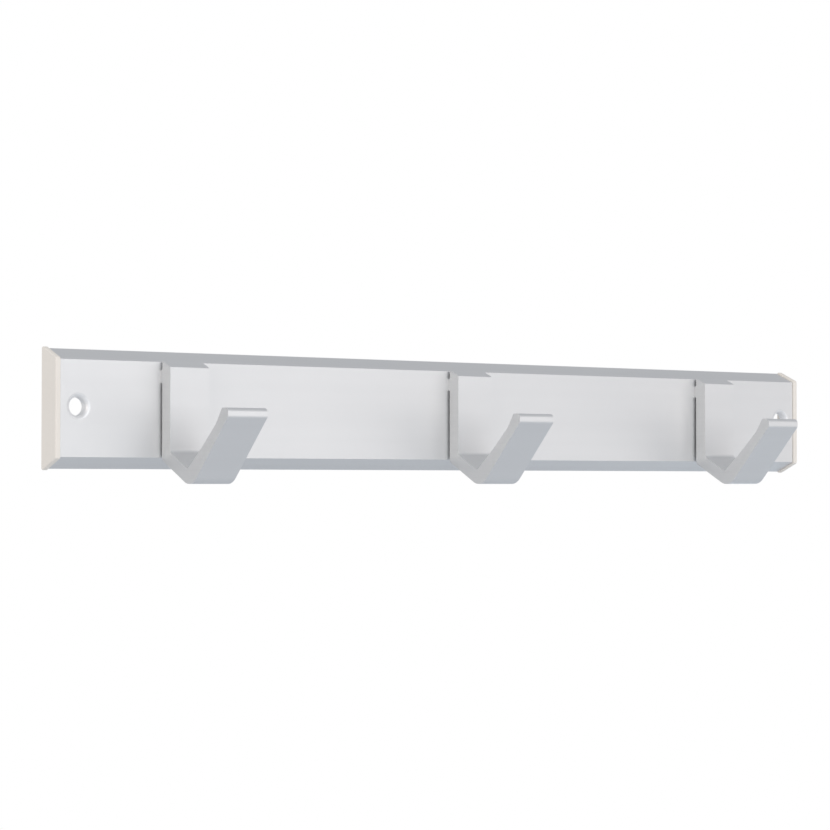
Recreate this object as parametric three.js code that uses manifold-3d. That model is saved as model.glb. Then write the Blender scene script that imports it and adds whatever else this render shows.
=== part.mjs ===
// A wall hook rack: a shallow extruded rail with an end cap at each end, and a row of equal hooks,
// each a slice of a second extrusion that two screws hold from inside the rail.
//
// Sizes are in millimetres. X runs along the rail and Z is up. The wall is the plane y = 0 and the
// rack stands out from it towards -Y. The origin is the centre of the rail's back.
import * as THREE from "three";
import { mergeVertices } from "three/addons/utils/BufferGeometryUtils.js";
import Module from "manifold-3d";

const wasm = await Module();
wasm.setup();

// The rail: a trapezoid channel, open at the back, with a narrow lip along each back edge.
const RAIL_LENGTH = 275.5;
const RAIL_HEIGHT = 32.5;
const RAIL_DEPTH = 7.2;
const BEVEL_DROP = 3.15;
const FRONT_WALL = 2.7;
const FLANGE_WALL = 1.8;
const LIP_WIDTH = 2;
const LIP_THICKNESS = 1.4;
const RAIL_EDGE_RADIUS = 0.15;
const CHANNEL_RADIUS = 0.5;

// Holes for the wall screws, one near each end and a little above mid height. Their countersinks
// are rounded over into the front face.
const WALL_HOLE_INSET = 5.6;
const WALL_HOLE_UP = 0.5;
const WALL_HOLE_RADIUS = 2.5;
const COUNTERSINK_RADIUS = 3.8;
const COUNTERSINK_DEPTH = 1.1;

// The hooks. A point of the profile is given by how far it stands out from the rail's front face,
// its height above the rail's middle, and the radius that rounds it.
const HOOK_SIDES = ["left", "middle", "right"];
const HOOK_PITCH = 100;
const HOOK_WIDTH = 12.6;
const PLATE_GAP = 0.65;
const PLATE_THICKNESS = 4.1;
const PLATE_TOP = 11.6;
const PLATE_BOTTOM = -13.7;
const PLATE_EDGE_RADIUS = 0.3;
const PAD_TOP = 10.8;
const PAD_HEIGHT = 3.5;
const LEG_FRONT_TOP = -11.6;
const LEG_FOLD_RADIUS = 1.5;
const CROTCH = { out: 13.4, up: -16.2, radius: 1 };
const ARM_BEND = { out: 19.8, up: -10.95, radius: 40 };
const HEEL = { out: 15.2, up: -21.4, radius: 5 };
const NECK = { out: 27.3, up: -4.1, radius: 2 };
const TIP_OUT = 32.95;
const TIP_TOP = 0;
const TIP_BACK = { out: 30.1, up: TIP_TOP, radius: 1 };
const TIP_FRONT = { out: TIP_OUT, up: TIP_TOP, radius: 1.3 };
const TIP_FOOT = { out: TIP_OUT, up: -2.5, radius: 1.1 };

// The two screws behind each hook, side by side through its contact pad.
const SCREW_SPACING = 6.4;
const SCREW_RADIUS = 1.45;
const SCREW_TIP_OUT = 3;
const SCREW_TIP_CHAMFER = 0.4;
const HEAD_RADIUS = 2.8;
const HEAD_HEIGHT = 2.1;
const RECESS_WIDTH = 0.65;
const RECESS_LENGTH = 3;
const RECESS_DEPTH = 1.2;
const CLEARANCE_RADIUS = 1.7;
const THREAD_RADIUS = 1.5;
const THREAD_DEPTH = 3.2;
const DRILL_CONE = 0.4;

// The head's edge is rounded over: each pair is a share of the head's radius and of its height.
const HEAD_ROUNDING = [
  [1, 0],
  [1, 0.5],
  [0.88, 0.85],
  [0.6, 1],
];

// The moulded end caps: a rounded plate with two prongs that slide into the channel. A hairline seam
// stays between the plate and the rail.
const CAP_THICKNESS = 1.6;
const CAP_SEAM = 0.1;
const CAP_OVERHANG = 0.45;
const CAP_EDGE = 0.3;
const CAP_CORNER_RADIUS = 0.3;
const PRONG_LENGTH = 14;
const PRONG_HEIGHT = 4.6;
const PRONG_CLEARANCE = 0.1;
const PRONG_TAPER = 3;
const PRONG_END_CUT = 1.4;

// Cutting tools start and end this far clear of what they cut.
const CUT_CLEAR = 1;

const ARC_STEPS = 8;
const ROUND_STEPS = 36;
const FLARE_STEPS = 6;

const frontHeight = RAIL_HEIGHT - 2 * BEVEL_DROP;
const bevelSlope = BEVEL_DROP / RAIL_DEPTH;
const channelFloor = -(RAIL_DEPTH - FRONT_WALL);
const channelHalfHeight = RAIL_HEIGHT / 2 - FLANGE_WALL * Math.hypot(1, bevelSlope);
const padCentre = PAD_TOP - PAD_HEIGHT / 2;

const anodised = new THREE.MeshStandardMaterial({ color: 0xd9d9db, roughness: 0.42, metalness: 0.9 });
const plastic = new THREE.MeshStandardMaterial({ color: 0xe4ddd4, roughness: 0.5, metalness: 0 });
const zinc = new THREE.MeshStandardMaterial({ color: 0xb9bcc0, roughness: 0.35, metalness: 1 });

// Turns an outline in (y, z), extruded along the third axis, so that it runs along X.
const alongX = new THREE.Matrix4().makeBasis(
  new THREE.Vector3(0, 1, 0),
  new THREE.Vector3(0, 0, 1),
  new THREE.Vector3(1, 0, 0),
);

function corner(y, z, radius = 0) {
  return { point: new THREE.Vector2(y, z), radius };
}

// A closed outline through the given corners, each rounded to its own radius.
function roundedShape(corners) {
  const shape = new THREE.Shape();
  corners.forEach(({ point, radius }, i) => {
    const before = corners.at(i - 1).point;
    const after = corners[(i + 1) % corners.length].point;
    const back = before.clone().sub(point).normalize();
    const ahead = after.clone().sub(point).normalize();
    const halfAngle = Math.acos(THREE.MathUtils.clamp(back.dot(ahead), -1, 1)) / 2;
    const reach = radius / Math.tan(halfAngle);
    const start = point.clone().addScaledVector(back, reach);
    if (i === 0) shape.moveTo(start.x, start.y);
    else shape.lineTo(start.x, start.y);
    if (radius > 0) {
      const end = point.clone().addScaledVector(ahead, reach);
      const middle = back.add(ahead).normalize();
      const centre = point.clone().addScaledVector(middle, radius / Math.sin(halfAngle));
      const startAngle = start.clone().sub(centre).angle();
      const endAngle = end.clone().sub(centre).angle();
      const clockwise = start.clone().sub(centre).cross(end.clone().sub(centre)) < 0;
      shape.absarc(centre.x, centre.y, radius, startAngle, endAngle, clockwise);
    }
  });
  return shape;
}

function extrudeAlongX(shape, length, middleX = 0) {
  return new THREE.ExtrudeGeometry(shape, { depth: length, bevelEnabled: false, curveSegments: ARC_STEPS })
    .translate(0, 0, -length / 2)
    .applyMatrix4(alongX)
    .translate(middleX, 0, 0);
}

// A turned solid about a line parallel to Y, from points given as [radius, y].
function turned(points, x, z) {
  const profile = points.map(([radius, y]) => new THREE.Vector2(radius, y));
  return new THREE.LatheGeometry(profile, ROUND_STEPS).translate(x, 0, z);
}

function toSolid(geometry) {
  const bare = geometry.index ? geometry.toNonIndexed() : geometry.clone();
  bare.deleteAttribute("normal");
  bare.deleteAttribute("uv");
  const merged = mergeVertices(bare, 1e-4);
  const triVerts = [];
  const index = merged.index.array;
  for (let i = 0; i < index.length; i += 3) {
    const [a, b, c] = index.slice(i, i + 3);
    if (a !== b && b !== c && c !== a) triVerts.push(a, b, c);
  }
  const mesh = new wasm.Mesh({
    numProp: 3,
    vertProperties: merged.attributes.position.array,
    triVerts: new Uint32Array(triVerts),
  });
  return new wasm.Manifold(mesh);
}

function toGeometry(solid) {
  const mesh = solid.getMesh();
  const geometry = new THREE.BufferGeometry();
  geometry.setAttribute("position", new THREE.BufferAttribute(mesh.vertProperties, 3));
  geometry.setIndex(new THREE.BufferAttribute(mesh.triVerts, 1));
  geometry.computeVertexNormals();
  return geometry;
}

const cutFrom = (geometry, cutters) =>
  toGeometry(cutters.reduce((solid, cutter) => solid.subtract(toSolid(cutter)), toSolid(geometry)));

const joined = (geometries) =>
  toGeometry(geometries.map(toSolid).reduce((solid, next) => solid.add(next)));

function named(name, geometry, material) {
  const mesh = new THREE.Mesh(geometry, material);
  mesh.name = name;
  return mesh;
}

const hookPlaces = HOOK_SIDES.map((side, i) => ({ side, x: (i - (HOOK_SIDES.length - 1) / 2) * HOOK_PITCH }));
const screwXs = (hookX) => [hookX - SCREW_SPACING / 2, hookX + SCREW_SPACING / 2];

// The upper half of the channel's outline, from the front face back to the lip; the lower half mirrors it.
function railShape() {
  const half = [
    corner(-RAIL_DEPTH, frontHeight / 2, RAIL_EDGE_RADIUS),
    corner(0, RAIL_HEIGHT / 2, RAIL_EDGE_RADIUS),
    corner(0, channelHalfHeight - LIP_WIDTH, RAIL_EDGE_RADIUS),
    corner(-LIP_THICKNESS, channelHalfHeight - LIP_WIDTH, RAIL_EDGE_RADIUS),
    corner(-LIP_THICKNESS, channelHalfHeight - LIP_THICKNESS * bevelSlope),
    corner(channelFloor, channelHalfHeight + channelFloor * bevelSlope, CHANNEL_RADIUS),
  ];
  const mirrored = half.map(({ point, radius }) => corner(point.x, -point.y, radius)).reverse();
  return roundedShape([...half, ...mirrored]);
}

function wallHoleCutter(x) {
  const spread = COUNTERSINK_RADIUS - WALL_HOLE_RADIUS;
  const flare = Array.from({ length: FLARE_STEPS + 1 }, (_, i) => {
    const turn = (i / FLARE_STEPS) * (Math.PI / 2);
    const into = COUNTERSINK_DEPTH * (1 - Math.cos(turn));
    return [COUNTERSINK_RADIUS - spread * Math.sin(turn), -RAIL_DEPTH + into];
  });
  return turned(
    [
      [0, -RAIL_DEPTH - CUT_CLEAR],
      [COUNTERSINK_RADIUS, -RAIL_DEPTH - CUT_CLEAR],
      ...flare,
      [WALL_HOLE_RADIUS, channelFloor + CUT_CLEAR],
      [0, channelFloor + CUT_CLEAR],
    ],
    x,
    WALL_HOLE_UP,
  );
}

function clearanceCutter(x) {
  return turned(
    [
      [0, -RAIL_DEPTH - CUT_CLEAR],
      [CLEARANCE_RADIUS, -RAIL_DEPTH - CUT_CLEAR],
      [CLEARANCE_RADIUS, channelFloor + CUT_CLEAR],
      [0, channelFloor + CUT_CLEAR],
    ],
    x,
    padCentre,
  );
}

function makeRail() {
  const wallHoleX = RAIL_LENGTH / 2 - WALL_HOLE_INSET;
  const cutters = [wallHoleCutter(-wallHoleX), wallHoleCutter(wallHoleX)];
  for (const { x } of hookPlaces) cutters.push(...screwXs(x).map(clearanceCutter));
  return named("rail", cutFrom(extrudeAlongX(railShape(), RAIL_LENGTH), cutters), anodised);
}

// The hook's outline: a plate behind, a leg down and out to the heel, and an arm up to a beaded tip.
function hookShape() {
  const at = ({ out, up, radius }) => corner(-RAIL_DEPTH - out, up, radius);
  const plateFront = PLATE_GAP + PLATE_THICKNESS;
  const padBottom = PAD_TOP - PAD_HEIGHT;
  return roundedShape([
    at({ out: PLATE_GAP, up: PLATE_TOP + PLATE_THICKNESS * bevelSlope, radius: PLATE_EDGE_RADIUS }),
    at({ out: plateFront, up: PLATE_TOP, radius: PLATE_EDGE_RADIUS }),
    at({ out: plateFront, up: LEG_FRONT_TOP, radius: LEG_FOLD_RADIUS }),
    at(CROTCH),
    at(ARM_BEND),
    at(NECK),
    at(TIP_BACK),
    at(TIP_FRONT),
    at(TIP_FOOT),
    at(HEEL),
    at({ out: PLATE_GAP, up: PLATE_BOTTOM, radius: LEG_FOLD_RADIUS }),
    at({ out: PLATE_GAP, up: padBottom, radius: PLATE_EDGE_RADIUS }),
    at({ out: 0, up: padBottom, radius: PLATE_EDGE_RADIUS }),
    at({ out: 0, up: PAD_TOP, radius: PLATE_EDGE_RADIUS }),
    at({ out: PLATE_GAP, up: PAD_TOP, radius: PLATE_EDGE_RADIUS }),
  ]);
}

function threadCutter(x) {
  const mouth = -RAIL_DEPTH + CUT_CLEAR;
  return turned(
    [
      [0, -RAIL_DEPTH - THREAD_DEPTH - DRILL_CONE],
      [THREAD_RADIUS, -RAIL_DEPTH - THREAD_DEPTH],
      [THREAD_RADIUS, mouth],
      [0, mouth],
    ],
    x,
    padCentre,
  );
}

function makeHook({ side, x }) {
  const body = extrudeAlongX(hookShape(), HOOK_WIDTH, x);
  return named(`hook_${side}`, cutFrom(body, screwXs(x).map(threadCutter)), anodised);
}

// A pan head screw with a cross recess, its head on the channel's floor and its tip in the hook.
function makeScrew(name, x) {
  const tip = -RAIL_DEPTH - SCREW_TIP_OUT;
  const headTop = channelFloor + HEAD_HEIGHT;
  const body = turned(
    [
      [0, tip],
      [SCREW_RADIUS - SCREW_TIP_CHAMFER, tip],
      [SCREW_RADIUS, tip + SCREW_TIP_CHAMFER],
      [SCREW_RADIUS, channelFloor],
      ...HEAD_ROUNDING.map(([wide, high]) => [HEAD_RADIUS * wide, channelFloor + HEAD_HEIGHT * high]),
      [0, headTop],
    ],
    x,
    padCentre,
  );
  const slot = (width, height) =>
    new THREE.BoxGeometry(width, RECESS_DEPTH * 2, height).translate(x, headTop, padCentre);
  const cross = [slot(RECESS_LENGTH, RECESS_WIDTH), slot(RECESS_WIDTH, RECESS_LENGTH)];
  return named(name, cutFrom(body, cross), zinc);
}

// The cap's plate follows the rail's outline and stands a little proud of it all round.
function capShape() {
  const y = RAIL_DEPTH + CAP_OVERHANG - CAP_EDGE;
  const wallSide = -CAP_EDGE;
  const grown = CAP_OVERHANG - CAP_EDGE;
  return roundedShape([
    corner(wallSide, RAIL_HEIGHT / 2 + grown, CAP_CORNER_RADIUS),
    corner(wallSide, -RAIL_HEIGHT / 2 - grown, CAP_CORNER_RADIUS),
    corner(-y, -frontHeight / 2 - grown, CAP_CORNER_RADIUS),
    corner(-y, frontHeight / 2 + grown, CAP_CORNER_RADIUS),
  ]);
}

function capPlate() {
  return new THREE.ExtrudeGeometry(capShape(), {
    depth: CAP_THICKNESS - 2 * CAP_EDGE,
    bevelThickness: CAP_EDGE,
    bevelSize: CAP_EDGE,
    bevelSegments: 4,
    curveSegments: ARC_STEPS,
  })
    .translate(0, 0, CAP_EDGE - CAP_THICKNESS)
    .applyMatrix4(alongX);
}

// A prong fills one corner of the channel between the lip and the floor, and narrows at its end.
function capProng(sign) {
  const root = -CAP_THICKNESS / 2;
  const outer = sign * (channelHalfHeight + channelFloor * bevelSlope - PRONG_CLEARANCE - CHANNEL_RADIUS / 2);
  const inner = outer - sign * PRONG_HEIGHT;
  const thickness = -channelFloor - LIP_THICKNESS - 2 * PRONG_CLEARANCE;
  const side = new THREE.Shape([
    new THREE.Vector2(root, outer),
    new THREE.Vector2(PRONG_LENGTH - PRONG_TAPER, outer),
    new THREE.Vector2(PRONG_LENGTH, outer - sign * PRONG_END_CUT),
    new THREE.Vector2(PRONG_LENGTH, inner + sign * PRONG_END_CUT),
    new THREE.Vector2(PRONG_LENGTH - PRONG_TAPER, inner),
    new THREE.Vector2(root, inner),
  ]);
  return new THREE.ExtrudeGeometry(side, { depth: thickness, bevelEnabled: false })
    .rotateX(Math.PI / 2)
    .translate(0, -LIP_THICKNESS - PRONG_CLEARANCE, 0);
}

// The left cap as moulded; turned half round about Y, the same moulding closes the right end.
function makeCap(side, turn) {
  const mesh = named(`end_cap_${side}`, joined([capPlate(), capProng(1), capProng(-1)]), plastic);
  mesh.rotation.y = turn;
  const end = RAIL_LENGTH / 2 + CAP_SEAM;
  mesh.position.x = side === "left" ? -end : end;
  return mesh;
}

const rack = new THREE.Group();
rack.add(makeRail());
rack.add(makeCap("left", 0), makeCap("right", Math.PI));
for (const place of hookPlaces) {
  rack.add(makeHook(place));
  screwXs(place.x).forEach((x, i) => rack.add(makeScrew(`hook_${place.side}_screw_${i + 1}`, x)));
}

export default rack;
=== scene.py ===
"""A wall hook rack: satin anodised rail, moulded end caps, three sawn extrusion hooks, zinc screws.

Everything is in metres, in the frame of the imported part: X along the rail, Z up, the wall at y = 0.
"""

import math

import bmesh
import bpy
from mathutils import Matrix, Vector


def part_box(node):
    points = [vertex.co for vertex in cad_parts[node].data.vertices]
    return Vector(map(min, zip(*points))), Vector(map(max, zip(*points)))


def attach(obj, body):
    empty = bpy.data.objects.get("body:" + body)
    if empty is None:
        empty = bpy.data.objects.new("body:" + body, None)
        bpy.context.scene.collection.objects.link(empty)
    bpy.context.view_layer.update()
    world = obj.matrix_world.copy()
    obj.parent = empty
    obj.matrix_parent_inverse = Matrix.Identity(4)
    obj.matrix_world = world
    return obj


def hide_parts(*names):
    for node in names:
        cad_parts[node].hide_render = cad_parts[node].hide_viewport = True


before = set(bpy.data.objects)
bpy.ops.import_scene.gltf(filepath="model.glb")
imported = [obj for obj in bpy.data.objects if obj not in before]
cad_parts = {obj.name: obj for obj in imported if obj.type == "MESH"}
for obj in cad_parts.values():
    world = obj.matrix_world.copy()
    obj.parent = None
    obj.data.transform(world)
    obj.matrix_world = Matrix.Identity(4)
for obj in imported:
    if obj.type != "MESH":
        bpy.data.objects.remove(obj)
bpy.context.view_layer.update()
rail_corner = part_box("rail")[1]

MM = 0.001

# Edges sharper than SMOOTH_ANGLE are eased; faces closer than FLAT_ANGLE to one plane are merged.
SMOOTH_ANGLE = math.radians(25)
FLAT_ANGLE = math.radians(0.5)
MERGE_DISTANCE = 0.001 * MM

# How far each kind of piece has its sharp edges eased, and in how many steps.
RAIL_EASE = {"edge": 0.1 * MM, "segments": 2}
HOOK_EASE = {"edge": 0.17 * MM, "segments": 3}
CAP_EASE = {"edge": 0.08 * MM, "segments": 2}
SCREW_EASE = {"edge": 0.05 * MM, "segments": 2}

# A face counts as square to an axis when its normal's share along that axis is at least this.
SAWN_SQUARENESS = 0.99
DRILLED_SQUARENESS = 0.98

# The rail's holes lie within these shares of its half length and half height.
DRILLED_LENGTH = 0.995
DRILLED_HEIGHT = 0.7

FLOOR_Z = -0.30
FLOOR_RADIUS = 1.1
FLOOR_BACK = 0.1
FLOOR_SIDES = 96

SEEN_WORLD = (1.0, 1.0, 1.0)
REFLECTED_WORLD = (0.93, 0.955, 1.0)
REFLECTED_STRENGTH = 0.52

CAMERA_PLACE = (-0.4985, -0.6288, -0.0191)
CAMERA_YAW = math.radians(37.66)
CAMERA_PITCH = math.radians(1.39)
CAMERA_ROLL = math.radians(0.06)
CAMERA_LENS = 116.4
CAMERA_SENSOR = 36.0
CAMERA_NEAR = 0.01
CAMERA_FAR = 50.0

# ---------------------------------------------------------------- node helpers


class Shader:
    """A material or world node tree with short ways to add and join nodes."""

    COLOUR_FACTOR, COLOUR_A, COLOUR_B, COLOUR_OUT = 0, 6, 7, 2

    def __init__(self, owner):
        owner.use_nodes = True
        self.tree = owner.node_tree
        self.tree.nodes.clear()

    def add(self, kind, **settings):
        node = self.tree.nodes.new(kind)
        for key, value in settings.items():
            setattr(node, key, value)
        return node

    def join(self, source, target):
        self.tree.links.new(source, target)

    def noise(self, vector, scale, detail=3.0, roughness=0.5):
        node = self.add("ShaderNodeTexNoise")
        node.inputs["Scale"].default_value = scale
        node.inputs["Detail"].default_value = detail
        node.inputs["Roughness"].default_value = roughness
        self.join(vector, node.inputs["Vector"])
        return node.outputs["Fac"]

    def stretched(self, scale=(1, 1, 1), turn=(0.0, 0.0, 0.0)):
        """Object coordinates, turned and then scaled by a factor for each axis."""
        place = self.add("ShaderNodeTexCoord").outputs["Object"]
        node = self.add("ShaderNodeMapping")
        node.inputs["Scale"].default_value = scale
        node.inputs["Rotation"].default_value = turn
        self.join(place, node.inputs["Vector"])
        return node.outputs["Vector"]

    def span(self, value, low=0.0, high=1.0, start=0.3, end=0.7):
        """Noise between start and end, stretched to run from low to high."""
        node = self.add("ShaderNodeMapRange")
        node.inputs["From Min"].default_value = start
        node.inputs["From Max"].default_value = end
        node.inputs["To Min"].default_value = low
        node.inputs["To Max"].default_value = high
        self.join(value, node.inputs["Value"])
        return node.outputs["Result"]

    def tint(self, value, dark, light):
        node = self.add("ShaderNodeMix", data_type="RGBA")
        node.inputs[self.COLOUR_A].default_value = (*dark, 1.0)
        node.inputs[self.COLOUR_B].default_value = (*light, 1.0)
        self.join(value, node.inputs[self.COLOUR_FACTOR])
        return node.outputs[self.COLOUR_OUT]

    def bump(self, height, distance, strength, under=None):
        node = self.add("ShaderNodeBump")
        node.inputs["Strength"].default_value = strength
        node.inputs["Distance"].default_value = distance
        self.join(height, node.inputs["Height"])
        if under is not None:
            self.join(under, node.inputs["Normal"])
        return node.outputs["Normal"]

    def surface(self, colour, roughness, normal, metallic=0.0, specular=0.5):
        node = self.add("ShaderNodeBsdfPrincipled")
        node.inputs["Metallic"].default_value = metallic
        node.inputs["Specular IOR Level"].default_value = specular
        self.join(colour, node.inputs["Base Color"])
        self.join(roughness, node.inputs["Roughness"])
        self.join(normal, node.inputs["Normal"])
        out = self.add("ShaderNodeOutputMaterial")
        self.join(node.outputs["BSDF"], out.inputs["Surface"])
        return node


# ---------------------------------------------------------------- materials


def extruded_aluminium():
    """Satin anodised extrusion: die lines along X over a fine etched grain."""
    material = bpy.data.materials.new("anodised_extruded")
    s = Shader(material)
    lines = s.noise(s.stretched((1.2, 900, 900)), 1.0, detail=6.0, roughness=0.65)
    broad = s.noise(s.stretched((0.8, 160, 160)), 1.0, detail=2.0)
    cloud = s.noise(s.stretched(), 28.0, detail=4.0)
    grain = s.noise(s.stretched(), 9000.0, detail=2.0)
    colour = s.tint(s.span(broad), (0.785, 0.787, 0.79), (0.805, 0.807, 0.81))
    roughness = s.span(cloud, 0.47, 0.53)
    normal = s.bump(lines, 0.02 * MM, 0.22, s.bump(grain, 0.01 * MM, 0.3))
    s.surface(colour, roughness, normal, metallic=0.85)
    return material


def sawn_aluminium():
    """The cut ends of an extrusion: faint saw lines under the same anodising, a little duller."""
    material = bpy.data.materials.new("anodised_sawn")
    s = Shader(material)
    across = s.stretched((1, 30, 1400), turn=(math.radians(8), 0, 0))
    marks = s.noise(across, 1.0, detail=5.0, roughness=0.6)
    cloud = s.noise(s.stretched(), 180.0, detail=3.0)
    grain = s.noise(s.stretched(), 7000.0, detail=2.0)
    colour = s.tint(s.span(marks), (0.745, 0.745, 0.743), (0.77, 0.77, 0.768))
    roughness = s.span(cloud, 0.48, 0.58)
    normal = s.bump(marks, 0.02 * MM, 0.25, s.bump(grain, 0.012 * MM, 0.35))
    s.surface(colour, roughness, normal, metallic=0.85)
    return material


def pale_hole_wall_highlight():
    """Hole walls in a paler, less metallic finish than the anodising, with fine tool rings: a painted
    highlight that makes the bores read as brightly lit.
    """
    material = bpy.data.materials.new("hole_wall_painted_highlight")
    s = Shader(material)
    rings = s.noise(s.stretched((1, 2600, 1)), 1.0, detail=4.0)
    cloud = s.noise(s.stretched(), 700.0, detail=3.0)
    # Painted highlight: a near-white tone so the hole walls look as bright as where light falls on
    # them.
    colour = s.tint(s.span(cloud), (0.9, 0.9, 0.905), (0.94, 0.94, 0.945))
    roughness = s.span(cloud, 0.42, 0.5)
    normal = s.bump(rings, 0.01 * MM, 0.3)
    s.surface(colour, roughness, normal, metallic=0.6)
    return material


def moulded_plastic():
    """Warm off-white plastic with a fine spark-eroded grain."""
    material = bpy.data.materials.new("cap_plastic")
    s = Shader(material)
    grain = s.noise(s.stretched(), 3800.0, detail=3.0)
    cloud = s.noise(s.stretched(), 60.0, detail=2.0)
    colour = s.tint(s.span(cloud), (0.908, 0.852, 0.781), (0.928, 0.872, 0.801))
    roughness = s.span(grain, 0.48, 0.62)
    normal = s.bump(grain, 0.03 * MM, 0.35)
    s.surface(colour, roughness, normal, specular=0.45)
    return material


def zinc_plate():
    """Bright zinc on steel with a slightly uneven, faintly blue passivated skin."""
    material = bpy.data.materials.new("screw_zinc")
    s = Shader(material)
    cloud = s.noise(s.stretched(), 420.0, detail=4.0)
    grain = s.noise(s.stretched(), 6000.0, detail=2.0)
    colour = s.tint(s.span(cloud), (0.56, 0.58, 0.62), (0.68, 0.69, 0.71))
    roughness = s.span(cloud, 0.24, 0.38)
    normal = s.bump(grain, 0.012 * MM, 0.35)
    s.surface(colour, roughness, normal, metallic=1.0)
    return material


# ---------------------------------------------------------------- pieces


def is_sawn(face):
    """True for the ends of an extrusion, where it was cut to length."""
    return abs(face.normal.x) > SAWN_SQUARENESS


def is_drilled(face):
    """True inside the rail's holes: clear of its ends and flanges, on a face not square to Y."""
    middle = face.calc_center_median()
    clear_of_ends = abs(middle.x) < DRILLED_LENGTH * rail_corner.x
    clear_of_flanges = abs(middle.z) < DRILLED_HEIGHT * rail_corner.z
    return clear_of_ends and clear_of_flanges and abs(face.normal.y) < DRILLED_SQUARENESS


def detailed(node_name, piece_name, ease, materials, second=None):
    """A piece from the CAD node's solid, with its flat faces merged and its sharp edges eased.

    The faces that the test called second picks out take the second material.
    """
    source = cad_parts[node_name]
    mesh = bpy.data.meshes.new(piece_name)
    bm = bmesh.new()
    bm.from_mesh(source.data)
    bmesh.ops.remove_doubles(bm, verts=bm.verts, dist=MERGE_DISTANCE)
    bmesh.ops.dissolve_limit(
        bm,
        angle_limit=FLAT_ANGLE,
        verts=bm.verts,
        edges=bm.edges,
        use_dissolve_boundaries=False,
    )
    bm.normal_update()
    sharp = [e for e in bm.edges if e.is_manifold and e.calc_face_angle(0.0) > SMOOTH_ANGLE]
    bmesh.ops.bevel(
        bm,
        geom=sharp,
        offset=ease["edge"],
        offset_type="OFFSET",
        segments=ease["segments"],
        profile=0.5,
        affect="EDGES",
        clamp_overlap=True,
    )
    bmesh.ops.triangulate(bm, faces=[f for f in bm.faces if len(f.verts) > 4])
    bm.normal_update()
    for face in bm.faces:
        face.smooth = True
        if second is not None and second(face):
            face.material_index = 1
    bm.to_mesh(mesh)
    bm.free()
    for material in materials:
        mesh.materials.append(material)
    piece = bpy.data.objects.new(piece_name, mesh)
    bpy.context.collection.objects.link(piece)
    mesh.set_sharp_from_angle(angle=SMOOTH_ANGLE)
    weigh = piece.modifiers.new("weighted", "WEIGHTED_NORMAL")
    weigh.keep_sharp = True
    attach(piece, "root")
    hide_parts(node_name)
    return piece


extruded = extruded_aluminium()
sawn = sawn_aluminium()
hole_wall_highlight = pale_hole_wall_highlight()
plastic = moulded_plastic()
zinc = zinc_plate()

# The rail's hole walls take the painted-highlight metal.
rail_skins = [extruded, hole_wall_highlight]
hook_skins = [extruded, sawn]
detailed("rail", "rail_extrusion", RAIL_EASE, rail_skins, is_drilled)
for side in ("left", "right"):
    detailed(f"end_cap_{side}", f"cap_{side}", CAP_EASE, [plastic])
for side in ("left", "middle", "right"):
    detailed(f"hook_{side}", f"hook_slice_{side}", HOOK_EASE, hook_skins, is_sawn)
    for n in (1, 2):
        detailed(f"hook_{side}_screw_{n}", f"screw_{side}_{n}", SCREW_EASE, [zinc])

# ---------------------------------------------------------------- stage, light and camera


def make_floor():
    mesh = bpy.data.meshes.new("floor")
    bm = bmesh.new()
    bmesh.ops.create_circle(bm, cap_ends=True, segments=FLOOR_SIDES, radius=FLOOR_RADIUS)
    bmesh.ops.translate(bm, verts=bm.verts, vec=(0, FLOOR_BACK, FLOOR_Z))
    bm.to_mesh(mesh)
    bm.free()
    material = bpy.data.materials.new("floor_paint")
    s = Shader(material)
    cloud = s.noise(s.stretched(), 6.0)
    colour = s.tint(s.span(cloud), (0.755, 0.78, 0.81), (0.77, 0.795, 0.825))
    roughness = s.span(cloud, 0.7, 0.8)
    s.surface(colour, roughness, s.bump(cloud, 0.1 * MM, 0.1))
    mesh.materials.append(material)
    floor = bpy.data.objects.new("floor", mesh)
    bpy.context.collection.objects.link(floor)


def make_world():
    """White behind the object; a softer grey all round for what the metal reflects."""
    world = bpy.data.worlds.new("studio")
    bpy.context.scene.world = world
    s = Shader(world)
    seen = s.add("ShaderNodeBackground")
    seen.inputs["Color"].default_value = (*SEEN_WORLD, 1.0)
    around = s.add("ShaderNodeBackground")
    around.inputs["Color"].default_value = (*REFLECTED_WORLD, 1.0)
    around.inputs["Strength"].default_value = REFLECTED_STRENGTH
    path = s.add("ShaderNodeLightPath")
    mix = s.add("ShaderNodeMixShader")
    s.join(path.outputs["Is Camera Ray"], mix.inputs[0])
    s.join(around.outputs[0], mix.inputs[1])
    s.join(seen.outputs[0], mix.inputs[2])
    out = s.add("ShaderNodeOutputWorld")
    s.join(mix.outputs[0], out.inputs["Surface"])


def softbox(name, place, width, height, watts, colour):
    """A rectangular lamp that faces the object and isn't seen itself."""
    light = bpy.data.lights.new(name, "AREA")
    light.shape = "RECTANGLE"
    light.size = width
    light.size_y = height
    light.energy = watts
    light.color = colour
    lamp = bpy.data.objects.new(name, light)
    lamp.location = place
    lamp.rotation_mode = "QUATERNION"
    lamp.rotation_quaternion = (-Vector(place)).to_track_quat("-Z", "Y")
    lamp.visible_camera = False
    bpy.context.collection.objects.link(lamp)


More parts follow.
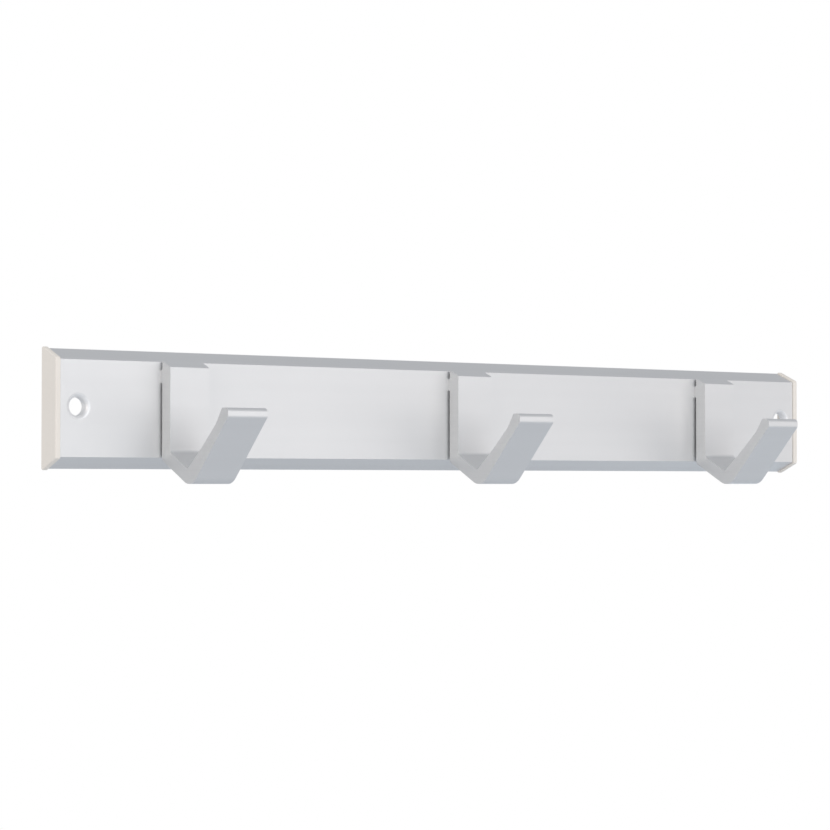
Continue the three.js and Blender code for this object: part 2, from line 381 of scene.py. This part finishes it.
def make_camera():
    """Yaw 0 looks along +Y and turns towards +X; pitch tilts up; roll turns about the view."""
    ahead_x = math.sin(CAMERA_YAW) * math.cos(CAMERA_PITCH)
    ahead_y = math.cos(CAMERA_YAW) * math.cos(CAMERA_PITCH)
    ahead = Vector((ahead_x, ahead_y, math.sin(CAMERA_PITCH)))
    level = Vector((math.cos(CAMERA_YAW), -math.sin(CAMERA_YAW), 0.0))
    over = level.cross(ahead)
    right = level * math.cos(CAMERA_ROLL) + over * math.sin(CAMERA_ROLL)
    up = over * math.cos(CAMERA_ROLL) - level * math.sin(CAMERA_ROLL)
    turn = Matrix((right, up, -ahead)).transposed()
    data = bpy.data.cameras.new("camera")
    data.sensor_width = CAMERA_SENSOR
    data.lens = CAMERA_LENS
    data.clip_start = CAMERA_NEAR
    data.clip_end = CAMERA_FAR
    camera = bpy.data.objects.new("camera", data)
    camera.matrix_world = Matrix.Translation(CAMERA_PLACE) @ turn.to_4x4()
    bpy.context.collection.objects.link(camera)
    bpy.context.scene.camera = camera


make_floor()
make_world()
softbox(
    "right_key",
    place=(0.75, -1.15, 0.15),
    width=1.3,
    height=1.1,
    watts=2.5,
    colour=(1.0, 0.94, 0.9),
)
softbox(
    "front_fill",
    place=(-0.1, -1.4, 0.3),
    width=1.0,
    height=0.9,
    watts=4.5,
    colour=(0.97, 0.985, 1.0),
)
softbox(
    "left_fill",
    place=(-1.2, -0.55, 0.25),
    width=0.9,
    height=0.9,
    watts=3.5,
    colour=(1.0, 0.92, 0.84),
)
softbox(
    "overhead",
    place=(-0.8, 0.3, 1.1),
    width=1.2,
    height=1.0,
    watts=2.1,
    colour=(0.91, 0.97, 1.0),
)
softbox(
    "behind",
    place=(-0.6, 1.25, 0.0),
    width=0.6,
    height=1.0,
    watts=1.2,
    colour=(1.0, 0.95, 0.92),
)
softbox(
    "low_right",
    place=(0.85, 0.25, -0.2),
    width=0.7,
    height=0.18,
    watts=1.2,
    colour=(0.8, 0.92, 1.0),
)
make_camera()
bpy.context.scene.view_settings.view_transform = "Standard"
